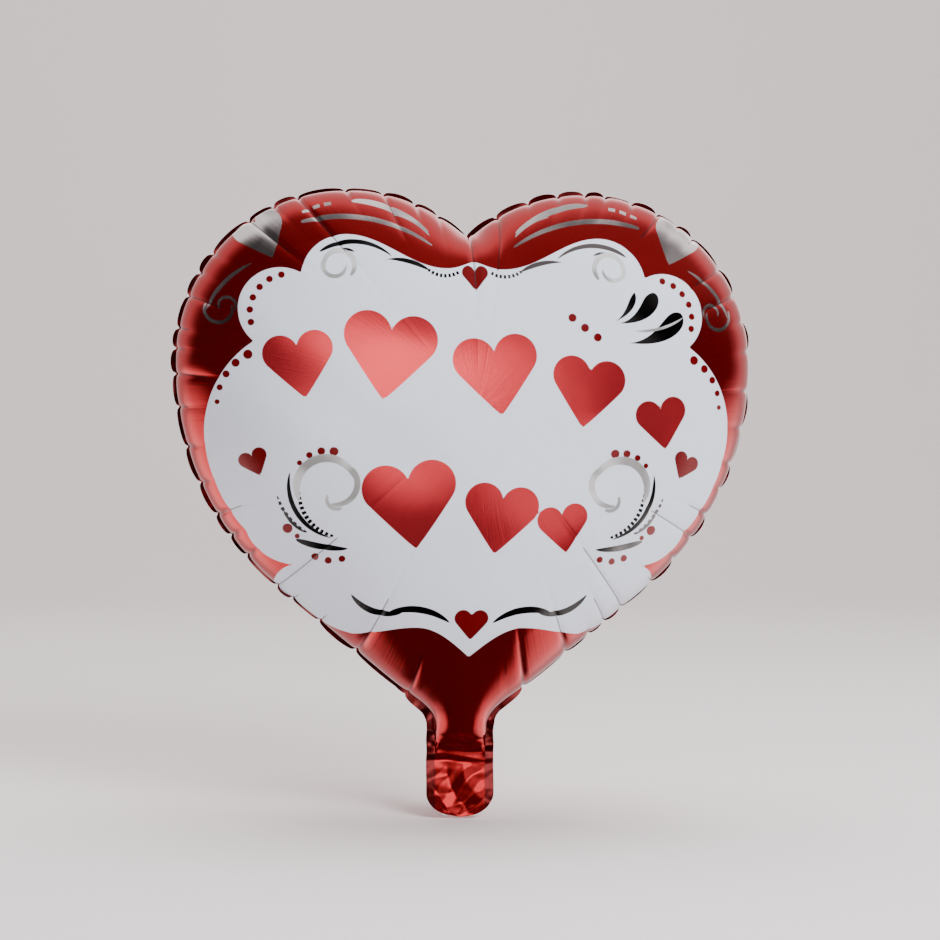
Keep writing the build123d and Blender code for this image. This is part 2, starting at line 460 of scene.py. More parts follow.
    def hem_grid(self, columns, cells):
        """The hem's mid surface: out along the edge's normal from the drawn-in seam, its outer
        edge drawn in further at the creases, leaning to one side or the other between them."""
        run, fade = self.run[columns], self.faded[columns]
        out = self.hem_steps[:, None]
        share = out / self.outline.hem
        drawn = cells.cusps(run, np.zeros((1, len(run))), 1) * fade
        _, x = cells.cell(run)
        sway = cells.sway(run) * fade
        short = fade * (0.34 * np.abs(sway) + 0.62 * (1 - np.sin(np.pi * x) ** 0.5))
        reach = out * (1 - short[None] * share)
        moved = (reach - drawn * (1 - 0.4 * share))[..., None] * self.normal[columns][None]
        plane = self.edge[columns][None] + moved
        lean = self.HEM_LEAN * sway[None] * share**1.2
        return np.stack([plane[..., 0], lean, plane[..., 1]], -1)

    def hem_share(self, prints):
        """1 on the hem and 0 on the filled part, from each point's place on the flat outline."""
        x, normal = self.outline.side_at(prints[:, 1])
        past_side = (np.abs(prints[:, 0]) - x) * np.abs(normal[:, 0])
        place, edge = (prints - self.outline.middle).T, (self.edge - self.outline.middle).T
        turn = np.arctan2(*edge)
        order = np.argsort(turn)
        edge_at = np.interp(np.arctan2(*place), turn[order], np.hypot(*edge)[order])
        past = np.where(prints[:, 1] < 90.0, past_side, np.hypot(*place) - edge_at)
        return ramp(past, 0.0, 0.6)

    def neck_heights(self):
        """Heights of the neck's rows. The tilt lifts the tail's end, so they stop that much higher."""
        end = TAIL_LOW[2] + 0.3
        rise = (1 - math.cos(self.tilt)) * (FOLD_Z - end)
        return np.linspace(self.THROAT, end - rise, self.NECK_ROWS + 1)[1:]

    def neck_grid(self):
        """Rows below the throat: filled part, its distance in from the seam, and both hems."""
        heights = self.neck_heights()
        x, normal = self.outline.side_at(heights)
        up = np.clip(heights - heights[-1], 0.02, self.TAIL_BOW)
        width = np.sqrt(1 - (1 - up / self.TAIL_BOW) ** 2)
        across = self.across[None] * (x * width)[:, None]
        filled = np.stack([-across, np.repeat(heights[:, None], across.shape[1], 1)], -1)
        inset = (1 - np.abs(self.across[None])) * (x * np.abs(normal[:, 0]))[:, None]
        hems = []
        for side in (1, -1):
            edge = np.stack([side * x * width, heights], -1)
            past = self.hem_steps[None, :, None] * width[:, None, None] * (normal * [side, 1])[:, None]
            hems.append(edge[:, None] + past)
        return heights, filled, inset, hems, self.hem_steps / self.outline.hem

    def neck_lean(self, heights, share, side):
        """The neck hem's flutter, which dies out in the flat tail."""
        wave = np.sin(heights / 2.9 + side) + 0.5 * np.sin(heights / 1.7)
        live = ramp(heights, self.THROAT, self.THROAT - 8.0) * ramp(heights, -18.0, -4.0)
        return side * 1.7 * (wave * live)[:, None] * share[None] ** 1.5

    def neck_block(self, sign):
        """The neck and tail of one panel, and its flat pattern."""
        heights, filled, inset, hems, share = self.neck_grid()
        stand = self.filling.height(filled)
        stand[:, 0] = stand[:, -1] = 0.0
        soft = ramp(heights, -16.0, 4.0)[:, None]
        out, forward = self.standing(inset)
        lift = self.NECK_SWELL * self.swell * self.swollen(inset) * soft
        _, normal = self.outline.side_at(heights)
        filled += (lift * out * soft)[..., None] * self.sideways(filled[..., 0], normal[:, None])
        flatness = 0.3 * (1 - soft) * (1 - np.abs(self.across[None]) ** 6)
        inner = self.GAP + stand + lift * forward + flatness
        plane = np.concatenate([hems[0][:, :0:-1], filled, hems[1][:, 1:]], 1)
        edge_gap = np.full((len(heights), len(share) - 1), self.GAP)
        stand = np.concatenate([edge_gap, inner, edge_gap], 1)
        one, two = self.neck_lean(heights, share, 1), self.neck_lean(heights, share, -1)
        lean = np.concatenate([one[:, :0:-1], np.zeros_like(inner), two[:, 1:]], 1)
        y, z = self.middle_surface(plane[..., 0], plane[..., 1])
        return np.stack([plane[..., 0], y + lean + sign * stand, z], -1), plane

    def fan_points(self, sign):
        """The middle point of one panel's fan, and the points of its rings."""
        lift = self.lift(sign)
        out, forward = self.standing(self.inset)
        grid = np.zeros((*lift.shape, 3))
        grid[..., [0, 2]] = self.flat + (lift * out)[..., None] * self.way
        stand = self.height + lift * forward + self.soft_waves(self.flat, self.inset, sign)
        grid[..., 1] = sign * (self.GAP + np.maximum(stand, 0))
        middle = self.outline.middle
        top = self.filling.height(middle[None]) + self.soft_waves(middle[None], np.array([90.0]), sign)
        return np.array([[0.0, sign * (self.GAP + top[0]), middle[1]]]), grid

    def fan_pattern(self):
        """The fan laid flat: each ray keeps its direction and takes its length along the film."""
        middle = self.outline.middle
        smooth = np.concatenate([self.flat, self.height[..., None]], -1)
        start = np.tile(np.append(middle, self.filling.height(middle[None])), (1, len(self.edge), 1))
        steps = np.diff(np.concatenate([start, smooth]), axis=0)
        laid = np.cumsum(np.linalg.norm(steps, axis=-1), 0)
        return middle + laid[..., None] * self.toward[None]

    def panel(self, sign):
        """One panel's vertices, quads, pole triangles, flat pattern, and its print and crease values;
        sign is -1 for the front and 1 for the back. A block's parts are its points, its flat pattern,
        its place in the print and its distance to the nearest crease."""
        middle, far = self.outline.middle, Puckers.FAR
        pole, grid = self.fan_points(sign)
        pattern = self.fan_pattern()
        gaps = np.full(self.inset.shape, far)
        for side, cells in self.halves:
            gaps[:, side] = cells.gap(self.run[side], self.inset[:, side], sign, self.shares[:, None])
        blocks = [(pole, middle, middle, far), (grid, pattern, self.flat, gaps)]
        index = 1 + np.arange(gaps.size).reshape(gaps.shape)
        closed = np.concatenate([index, index[:, :1]], 1)
        cap = np.stack([np.zeros(len(self.edge), int), closed[0, :-1], closed[0, 1:]], -1)
        faces, strips, count = [cells_between(closed)], [], 1 + gaps.size
        out = self.hem_steps[1:, None, None]
        for side, cells in self.halves:
            hem = self.hem_grid(side, cells)[1:] + [0, sign * self.GAP, 0]
            strip = count + np.arange(self.HEM_ROWS * len(side)).reshape(self.HEM_ROWS, len(side))
            count += strip.size
            strips.append(np.concatenate([index[-1:, side], strip]))
            faces.append(cells_between(strips[-1]))
            laid = pattern[-1, side][None] + out * self.toward[side][None]
            prints = self.edge[side][None] + out * self.normal[side][None]
            blocks.append((hem, laid, prints, np.full(strip.size, far)))
        right, left = strips
        faces.append(cells_between(np.stack([left[:, -1], right[:, 0]], 1)))
        neck, plane = self.neck_block(sign)
        top = np.concatenate([right[:0:-1, -1], index[-1, self.low_edge], left[1:, 0]])
        body = count + np.arange(neck.shape[0] * neck.shape[1]).reshape(neck.shape[:2])
        faces.append(cells_between(np.concatenate([top[None], body])))
        lowest = pattern[-1, self.low_edge, 1].mean()
        blocks.append((neck, plane + [0, lowest - self.THROAT], plane, np.full(body.size, far)))
        quads = np.concatenate(faces)
        if sign > 0:
            quads, cap = quads[:, ::-1], cap[:, ::-1]
        points, patterns, prints, creases = (
            np.concatenate([np.reshape(part, (-1, size)) for part in parts])
            for parts, size in zip(zip(*blocks), (3, 2, 2, 1))
        )
        return points, quads, cap, patterns, prints, creases[:, 0]

    def weld(self):
        """The fused layer between the panels' hems: a thin flat section carried round the rim from
        one side of the tail's end, over the cleft, to the other. Returns vertices and quads."""
        heights, _, _, hems, share = self.neck_grid()
        sides = []
        for (side, cells), hem, turn in zip(self.halves, hems, (1, -1)):
            upper = self.hem_grid(side, cells).transpose(1, 0, 2)
            y, z = self.middle_surface(hem[..., 0], hem[..., 1])
            lower = np.stack([hem[..., 0], y + self.neck_lean(heights, share, turn), z], -1)
            sides.append(np.concatenate([upper, lower] if turn > 0 else [lower[::-1], upper]))
        line = np.concatenate([sides[1], sides[0]])
        past = self.WELD_PAST * (line[:, -1] - line[:, -2]) / self.outline.hem * self.HEM_ROWS
        inner = line[:, 0] - 0.4 * (line[:, 1] - line[:, 0])
        spans = np.stack([inner, line[:, 1], line[:, 3], line[:, 5], line[:, -1] + past], 1)
        thick = np.array(self.WELD_HALF)[None, :, None] * [0, 1, 0]
        loop = np.concatenate([spans - thick, (spans + thick)[:, ::-1]], 1)
        n, m = loop.shape[:2]
        index = np.arange(n * m).reshape(n, m)
        closed = np.concatenate([index, index[:, :1]], 1)
        faces = [cells_between(closed)[:, OTHER_WAY]]
        for row, way in ((index[0], -1), (index[-1], 1)):
            for k in range(m // 2 - 1):
                faces.append(row[[k, k + 1, m - 2 - k, m - 1 - k]][None, ::way])
        return loop.reshape(-1, 3), np.concatenate(faces)

    def valve(self, sign, half):
        """One valve film: a strip on the neck's mid surface, from the tail's end into the balloon. Its
        lower corners are rounded. Returns vertices, quads and the flat pattern."""
        low, bow = self.neck_heights()[-1] + 0.8, self.VALVE_BOW
        u, v = np.meshgrid(np.linspace(-1, 1, 15), np.linspace(VALVE_HIGH[2], low, 84))
        up = np.clip(v - low, 0, bow)
        x = u * half * (1 - (bow - np.sqrt(bow**2 - (bow - up) ** 2)) * 0.35 / half)
        y, z = self.middle_surface(x, v)
        open_up = ramp(v, 4.0, 44.0) * (1 - u**2) * 0.15
        points = np.stack([x, y + sign * (0.1 + open_up), z], -1)
        quads = cells_between(np.arange(x.size).reshape(x.shape))[:, OTHER_WAY]
        return points.reshape(-1, 3), quads[:, ::-sign], np.stack([x, v], -1).reshape(-1, 2)


def put_mesh(name, points, quads, triangles=None):
    """A mesh object at the origin from points in millimetres and index arrays, shaded smooth."""
    mesh = bpy.data.meshes.new(name)
    faces = quads.tolist() + ([] if triangles is None else triangles.tolist())
    mesh.from_pydata((points * MM).tolist(), [], faces)
    mesh.validate()
    mesh.shade_smooth()
    obj = bpy.data.objects.new(name, mesh)
    bpy.context.scene.collection.objects.link(obj)
    return obj


def put_attribute(obj, name, values):
    """A number for each vertex."""
    layer = obj.data.attributes.new(name, "FLOAT", "POINT")
    layer.data.foreach_set("value", values.astype(np.float32))


def put_uv(obj, name, uv):
    """A UV map from one pair of numbers for each vertex."""
    layer = obj.data.uv_layers.new(name=name)
    corners = np.zeros(len(obj.data.loops), int)
    obj.data.loops.foreach_get("vertex_index", corners)
    layer.data.foreach_set("uv", uv[corners].ravel())


def filling_square(pattern):
    """A flat pattern scaled to fill the unit square."""
    low, high = pattern.min(0), pattern.max(0)
    return 0.01 + 0.98 * (pattern - low) / (high - low).max()


RIM_R = 170.0  # the rim's mean distance from the middle


def rim_place(grid, prints):
    """Distance round the rim and out from the middle, for streaks that run in from the rim."""
    middle = grid.outline.middle
    away = prints - middle
    angle = np.arctan2(away[:, 0], np.maximum(away[:, 1], grid.THROAT - middle[1]))
    return np.stack([np.abs(angle) * RIM_R, np.hypot(*away.T)], 1)


# ------------------------------------------------------------------------------------------ print


def inside_of(points, polygon):
    """Signed distance to a closed polygon, positive inside: the least distance to any side, with
    the sign from how often a line to the right crosses the sides."""
    nearest = np.full(len(points), 1e9)
    crossed = np.zeros(len(points), bool)
    for a, b in zip(polygon, np.roll(polygon, -1, 0)):
        side = b - a
        t = np.clip(((points - a) @ side) / max(side @ side, 1e-9), 0, 1)
        nearest = np.minimum(nearest, ((points - a - t[:, None] * side) ** 2).sum(1))
        between = (a[1] > points[:, 1]) != (b[1] > points[:, 1])
        reach = a[0] + (points[:, 1] - a[1]) * side[0] / (side[1] if side[1] else 1e-9)
        crossed ^= between & (points[:, 0] < reach)
    return np.sqrt(nearest) * np.where(crossed, 1, -1)


def inside_heart(points, x, z, width, tilt=0.0):
    """Signed distance inside a heart: a disc that grows on its way from the heart's point up to one
    lobe, and its mirror image; the distance is the greatest over steps along that way."""
    a = math.radians(tilt)
    p = (points - [x, z]) / width
    across = np.abs(p[:, 0] * math.cos(a) + p[:, 1] * math.sin(a))
    up = p[:, 1] * math.cos(a) - p[:, 0] * math.sin(a)
    steps = []
    for t in np.linspace(0, 1, 26):
        radius = 0.008 + 0.25 * t**0.94
        steps.append(radius - np.hypot(across - 0.25 * t, up + 0.46 - 0.68 * t))
    return np.max(steps, 0) * width


def mirror(path):
    """A path's mirror image across the middle line."""
    return np.asarray(path, float) * [-1, 1]


def white_panel(points):
    """The scalloped white panel: ogee top and foot from cosines, round scallops between cusps."""
    x = np.linspace(0, 18, 8)
    top = [np.stack([x, 303 + 5 * (1 - np.sin(math.pi / 2 * x / 18))], 1)]
    x = np.linspace(18, 80, 24)[1:]
    top.append(np.stack([x, 303 + 21 * (0.5 - 0.5 * np.cos(math.pi * (x - 18) / 62))], 1))
    top.append(through((80, 324), (100.5, 315.5), (108.5, 299), 16)[1:])
    sides = [
        through((108.5, 299), (141.5, 293), (137.5, 256)),
        through((137.5, 256), (161.5, 228), (166.5, 192)),
        through((166.5, 192), (157, 162), (140, 137)),
        through((140, 137), (127, 121.5), (109, 116), 16),
        through((109, 116), (121, 107), (114, 93), 16),
        np.array([[97, 83], [88.6, 78.4], [80.4, 74.6]]),
    ]
    x = np.linspace(72, 33, 16)
    foot = [np.stack([x, 72 + 5.3 * (0.5 + 0.5 * np.cos(math.pi * (x - 33) / 39))], 1)]
    x = np.linspace(33, 0, 16)[1:]
    foot.append(np.stack([x, 58 + 19.3 * np.sin(math.pi / 2 * x / 33)], 1))
    right = np.concatenate(top + sides + foot)
    return inside_of(points, np.concatenate([right, mirror(right)[::-1][1:-1]]))


def hearts(points, records):
    """Signed distance inside the nearest of some hearts: x, z, width and tilt of each."""
    return np.max([inside_heart(points, *heart) for heart in records], 0)


LARGE_HEARTS = [
    (-109, 241, 43, 10), (-55, 247, 57, -7), (12, 236, 52, 7), (69, 226, 46, -8), (119, 207, 34, 10),
    (-40, 155, 57, 8), (15, 147, 46, -7), (56, 141, 32, 9),
]
SMALL_HEARTS = [(0, 297, 16.5, 0), (0, 79.5, 21, 0), (-136, 180, 18, 24), (136, 180, 18, -24)]


def silver_hearts(points):
    """The bare silver heart on each lobe's red border, its point turned to the middle."""
    return np.max([inside_heart(points * [side, 1], 132, 322, 31, -24) for side in (-1, 1)], 0)


# -------------------------------------------------------------------------------------- materials


class Graph:
    """Short calls for a node tree."""

    def __init__(self, tree):
        self.tree = tree

    def add(self, kind, **values):
        node = self.tree.nodes.new(kind)
        for key, value in values.items():
            setattr(node, key, value)
        return node

    def put(self, node, socket, value):
        if isinstance(value, bpy.types.NodeSocket):
            self.tree.links.new(value, node.inputs[socket])
        else:
            node.inputs[socket].default_value = value

    def math(self, operation, *values, clamp=False):
        node = self.add("ShaderNodeMath", operation=operation, use_clamp=clamp)
        for socket, value in enumerate(values):
            self.put(node, socket, value)
        return node.outputs[0]

    def times(self, *values, **options):
        """The first of the short names for sums: times, plus and minus."""
        return self.math("MULTIPLY", *values, **options)

    def plus(self, *values, **options):
        return self.math("ADD", *values, **options)

    def minus(self, *values):
        return self.math("SUBTRACT", *values)

    def distance(self, a, b):
        """Length of the longest side of a right-angled triangle, from its other two."""
        return self.math("SQRT", self.plus(self.times(a, a), self.times(b, b)))

    def joined(self, operation, values):
        """The values joined in turn by one operation."""
        total = values[0]
        for value in values[1:]:
            total = self.math(operation, total, value)
        return total

    def mix(self, share, a, b):
        node = self.add("ShaderNodeMix", data_type="RGBA")
        for socket, value in ((0, share), (6, a), (7, b)):
            self.put(node, socket, value)
        return node.outputs[2]

    def blend(self, share, a, b):
        node = self.add("ShaderNodeMix", data_type="FLOAT")
        for socket, value in ((0, share), (2, a), (3, b)):
            self.put(node, socket, value)
        return node.outputs[0]

    def range(self, value, low, high, start=0.0, end=1.0):
        """A smooth step from start to end as the value goes from low to high."""
        node = self.add("ShaderNodeMapRange", interpolation_type="SMOOTHSTEP")
        for socket, number in enumerate((value, low, high, start, end)):
            self.put(node, socket, number)
        return node.outputs[0]

    def noise(self, scale, detail=2.0, stretch=(1, 1, 1), layer=None):
        mapping = self.add("ShaderNodeMapping")
        mapping.inputs["Scale"].default_value = stretch
        source = self.add("ShaderNodeUVMap", uv_map=layer) if layer else self.add("ShaderNodeTexCoord")
        self.put(mapping, "Vector", source.outputs[0 if layer else "Object"])
        node = self.add("ShaderNodeTexNoise")
        self.put(node, "Vector", mapping.outputs[0])
        self.put(node, "Scale", scale)
        self.put(node, "Detail", detail)
        return node.outputs[0]

    def attribute(self, name):
        return self.add("ShaderNodeAttribute", attribute_name=name).outputs["Fac"]

    def bump(self, height, distance, strength=1.0, after=None):
        node = self.add("ShaderNodeBump")
        for socket, value in (("Strength", strength), ("Distance", distance), ("Height", height)):
            self.put(node, socket, value)
        if after is not None:
            self.put(node, "Normal", after)
        return node.outputs[0]

    def group(self, tree, *values):
        node = self.add("ShaderNodeGroup", node_tree=tree)
        for socket, value in enumerate(values):
            self.put(node, socket, value)
        return node.outputs[0]


class Finish(Graph):
    """A material with one Principled shader."""

    def __init__(self, name):
        self.material = bpy.data.materials.new(name)
        self.material.use_nodes = True
        super().__init__(self.material.node_tree)
        self.tree.nodes.clear()
        self.shader = self.add("ShaderNodeBsdfPrincipled")
        self.put(self.add("ShaderNodeOutputMaterial"), "Surface", self.shader.outputs[0])

    def drive(self, **values):
        for socket, value in values.items():
            self.put(self.shader, socket.replace("_", " "), value)


CIRCLE_INPUTS = ["X", "Z", "Centre X", "Centre Z", "Radius"]


def motif_group(name, inputs):
    """A node group with numbers as inputs and one number out; returns its graph and its inputs."""
    tree = bpy.data.node_groups.new(name, "ShaderNodeTree")
    for label in inputs:
        tree.interface.new_socket(label, in_out="INPUT", socket_type="NodeSocketFloat")
    tree.interface.new_socket("Inside", in_out="OUTPUT", socket_type="NodeSocketFloat")
    graph = Graph(tree)
    return graph, list(graph.add("NodeGroupInput").outputs)[: len(inputs)]


def turned(g, x, z, cx, cz, start, way=None):
    """Distance and angle from a centre; the angle counts from start, 0 to a full turn if a way is
    given, or half a turn either side."""
    dx, dz = g.minus(x, cx), g.minus(z, cz)
    far = g.distance(dx, dz)
    angle = g.minus(g.math("ARCTAN2", dz, dx), start)
    if way is None:
        return far, g.math("WRAP", angle, math.pi, -math.pi)
    return far, g.math("WRAP", g.times(angle, way), 2 * math.pi - 0.5, -0.5)


def dot_row_group():
    """Signed distance inside a row of dots on an arc, whose radii change evenly along it."""
    g, (x, z, cx, cz, radius, start, step, last, first, grow) = motif_group(
        "dot_row", CIRCLE_INPUTS + ["Start", "Step", "Last", "First dot", "Growth"]
    )
    far, angle = turned(g, x, z, cx, cz, start)
    k = g.math("MINIMUM", g.math("MAXIMUM", g.math("ROUND", g.math("DIVIDE", angle, step)), 0.0), last)
    across = g.times(g.minus(angle, g.times(k, step)), radius)
    out = g.minus(far, radius)
    away = g.distance(across, out)
    size = g.math("MULTIPLY_ADD", k, grow, first)
    g.put(g.add("NodeGroupOutput"), 0, g.minus(size, away))
    return g.tree


def stroke_group():
    """Signed distance inside a stroke on an arc or a spiral: half its width less the distance to
    its line. The width is a power of 4 t (1 - t), with t skewed along it; ticks cut it in pieces."""
    g, (x, z, cx, cz, radius, grow, start, sweep, width, skew, power, ticks) = motif_group(
        "stroke", CIRCLE_INPUTS + ["Growth", "Start", "Sweep", "Width", "Skew", "Power", "Ticks"]
    )
    far, angle = turned(g, x, z, cx, cz, start, g.math("SIGN", sweep))
    t = g.math("DIVIDE", angle, g.math("ABSOLUTE", sweep))
    on = g.plus(t, 0.0, clamp=True)
    line = g.math("MULTIPLY_ADD", on, grow, radius)
    past = g.times(g.times(g.minus(t, on), sweep), line)
    out = g.minus(far, line)
    away = g.distance(past, out)
    skewed = g.math("POWER", on, skew)
    rise = g.times(g.times(skewed, 4.0), g.minus(1.0, skewed))
    half = g.times(g.math("POWER", rise, power), g.times(width, 0.5))
    cut = g.times(g.math("GREATER_THAN", g.math("FRACT", g.times(on, ticks)), 0.6), 3.0)
    inside = g.minus(g.minus(half, 0.12), g.plus(away, cut))
    g.put(g.add("NodeGroupOutput"), 0, inside)
    return g.tree


# Rows of dots: first, middle and last place (x, z), number of dots, first radius, growth
DOT_ROWS = [
    ((120.6, 297.7), (136.5, 286.5), (139.3, 267.8), 6, 2.1, 0.0),
    ((141, 247.7), (154.6, 235), (159.7, 218), 5, 2.9, -0.33),
    ((108.7, 180.9), (99.4, 187.4), (87.8, 188.3), 4, 1.6, 0.4),
    ((98.1, 121.5), (89.8, 119.6), (81.5, 121.0), 3, 2.3, -0.1),
    ((115.2, 139.4), (112.4, 136.6), (109.2, 134.6), 2, 3.1, -1.5),
]
RIGHT_DOTS = ((60, 273), (69, 266), (76, 261), 3, 2.6, 0.0)
# The dark strokes are bare silver print, painted dark as a reflection of dark surroundings
# Dark strokes: first, middle and last place, change of radius, width, skew, power, ticks
DARK_STROKES = [
    ((97, 312.5), (78, 319.2), (52, 310), 0, 3.3, 0.75, 0.6, 0),  # over the top scroll
    ((86, 313.5), (80, 314.4), (75, 312.4), 0, 1.9, 1.0, 0.7, 0),
    ((56, 308), (42, 307.2), (28, 301), 0, 3.2, 1.2, 0.8, 0),
    ((29.5, 302), (18, 298.3), (9.5, 301.2), 0, 2.6, 1.0, 0.12, 8),  # ticks beside the top heart
    ((108.5, 163), (103.5, 146.5), (86, 135), 0, 3.0, 1.0, 0.3, 12),
    ((114.5, 175), (109.5, 149), (88, 134), 0, 3.2, 0.9, 0.7, 0),
    ((122, 160), (114, 145.5), (102, 136.5), 0, 2.6, 0.9, 0.5, 8),
    ((118.5, 152), (112.5, 143), (104, 137), 0, 2.2, 1.1, 0.6, 0),
    ((110, 132.4), (96, 128.6), (78, 127.6), 0, 4.3, 0.8, 0.55, 0),
    ((75, 98), (61.5, 87.6), (43, 87.2), 0, 4.3, 1.0, 0.6, 0),  # foot wave
    ((52, 86.2), (31, 88.9), (13.5, 81), 0, 4.6, 0.9, 0.6, 0),
]
# Silver scrolls on the panel, in the same order
SCROLLS = [
    ((78, 297.5), (85, 313.5), (93, 299), 0, 3.4, 0.8, 0.35, 0),  # top
    ((95.3, 306.5), (85.5, 296), (78.8, 304), -2.0, 2.8, 0.8, 0.4, 0),
    ((108.5, 158), (97, 183.5), (74.5, 171), 0, 5.4, 0.9, 0.4, 0),  # side
    ((77.5, 178.5), (75.5, 160), (89, 154.5), -1.0, 4.0, 0.7, 0.35, 0),
    ((82.5, 153.2), (90.5, 154.6), (91.5, 161.5), -0.5, 2.6, 0.8, 0.3, 0),
]
# Strokes on the red border, in the same order
BORDER_STROKES = [
    ((76, 345.5), (54, 341.5), (28, 326.5), 0, 3.7, 0.8, 0.45, 0),
    ((50, 337.5), (39, 334), (27.5, 324), 0, 2.4, 1.0, 0.5, 0),
    ((107, 337.6), (97, 341.6), (86, 343.6), 0, 2.2, 1.0, 0.08, 3),
    ((108, 331.5), (72, 335), (26, 317.5), 0, 3.4, 0.7, 0.35, 0),
    ((139, 305), (154.5, 294), (167, 275), 0, 2.4, 1.1, 0.4, 0),
    ((167, 280), (157, 267), (150, 279), -1.5, 2.3, 0.9, 0.3, 0),
    ((149.5, 275), (155, 284), (160, 276), -1.0, 2.0, 1.0, 0.4, 0),
]
# On one side only: leaf shapes of bare silver by the right scallop, painted dark as a reflection of
# dark surroundings
LEAVES = [
    ((85, 270), (95, 277), (101, 290), 0, 4.4, 2.2, 0.8, 0),
    ((88, 270), (103, 274.5), (114.5, 290), 0, 10.2, 2.7, 0.58, 0),
    ((94, 258), (116, 262.5), (132, 277.5), 0, 12.2, 2.9, 0.55, 0),
]
# A painted highlight: a thin pale silver streak across the largest leaf
PAINTED_GLINT = ((101, 265.5), (118, 267.5), (134, 275), 0, 2.0, 0.9, 0.4, 0)


def printed_marks(n):
    """Outputs for the place in millimetres, and for the signed distance inside the nearest of the
    dots, the dark strokes and leaves (silver painted dark), the scrolls with the painted glint, and the
    border strokes."""
    place = n.add("ShaderNodeSeparateXYZ")
    n.put(place, 0, n.add("ShaderNodeUVMap", uv_map="print").outputs[0])
    x, z = (n.times(place.outputs[i], 1000.0) for i in (0, 1))
    both = n.math("ABSOLUTE", x)
    row, stroke = dot_row_group(), stroke_group()

    def drawn(record, x):
        *places, grow, width, skew, power, ticks = record
        cx, cz, radius, start, sweep = circle_through(*places)
        return n.group(stroke, x, z, cx, cz, radius, grow, start, sweep, width, skew, power, ticks)

    def dotted(record, x):
        *places, count, first, grow = record
        cx, cz, radius, start, sweep = circle_through(*places)
        return n.group(row, x, z, cx, cz, radius, start, sweep / (count - 1), count - 1.0, first, grow)

    dots = [dotted(record, both) for record in DOT_ROWS] + [dotted(RIGHT_DOTS, x)]
    dark = [drawn(record, both) for record in DARK_STROKES] + [drawn(record, x) for record in LEAVES]
    scrolls = [drawn(record, both) for record in SCROLLS] + [drawn(PAINTED_GLINT, x)]
    border = [drawn(record, both) for record in BORDER_STROKES]
    return x, z, [n.joined("MAXIMUM", group) for group in (dots, dark, scrolls, border)]


def rgba(color, gain=1.0):
    """A colour made lighter or darker, with its alpha."""
    return (*[min(1.0, c * gain) for c in color], 1.0)


def foil_base(name, looks):
    """Mirror foil under a clear coat: the red varies a little, fine streaks run in from the rim, the
    film has slow waves, and the fused hem is duller and crimped. The streaks and the hem's ribs are
    noises that change fast round the rim and slowly out from the middle."""
    n = Finish(name)
    hem = n.attribute("hem")
    cloud = n.noise(11.0, 3.0)
    streaks = n.noise(1.0, 3.0, (420.0, 18.0, 1.0), "rim")
    ribs = n.noise(1.0, 1.0, (900.0, 60.0, 1.0), "rim")
    # Painted shade along the creases: 1 on each crease's line, fading off it; the finishes darken their
    # colour with it
    crease = n.range(n.attribute("crease"), 0.12, 0.75, 1.0, 0.0)
    red = n.mix(cloud, rgba(looks.foil_red, 0.82), rgba(looks.foil_red, 1.15))
    red = n.mix(n.times(hem, 0.75), red, rgba(looks.foil_red, 0.16))
    rough = n.math("MULTIPLY_ADD", streaks, 0.10, looks.foil_roughness)
    rough = n.math("MULTIPLY_ADD", hem, 0.1, rough)
    n.drive(Coat_Weight=0.5, Coat_Roughness=0.06)
    grain = n.bump(n.noise(520.0, 2.0), 0.00003, 0.3)
    crimp = n.bump(n.times(ribs, hem), 0.0003, 0.5, grain)
    drawn = n.bump(streaks, 0.00022, 0.45, crimp)
    waves = n.bump(n.noise(34.0, 2.0), 0.0005, 0.3, drawn)
    return n, red, rough, waves, crease


def plain_foil(name, looks):
    """The back's finish: bare red foil, with shade painted dark along the creases."""
    n, red, rough, bump, crease = foil_base(name, looks)
    # Painted shade: the red darkened along the creases
    red = n.mix(n.times(crease, 0.75), red, rgba(looks.foil_red, 0.12))
    n.drive(Base_Color=red, Metallic=0.93, Roughness=rough, Normal=bump)
    return n.material


INK_EDGE = 2.6  # share of ink gained in each millimetre across a mark's edge


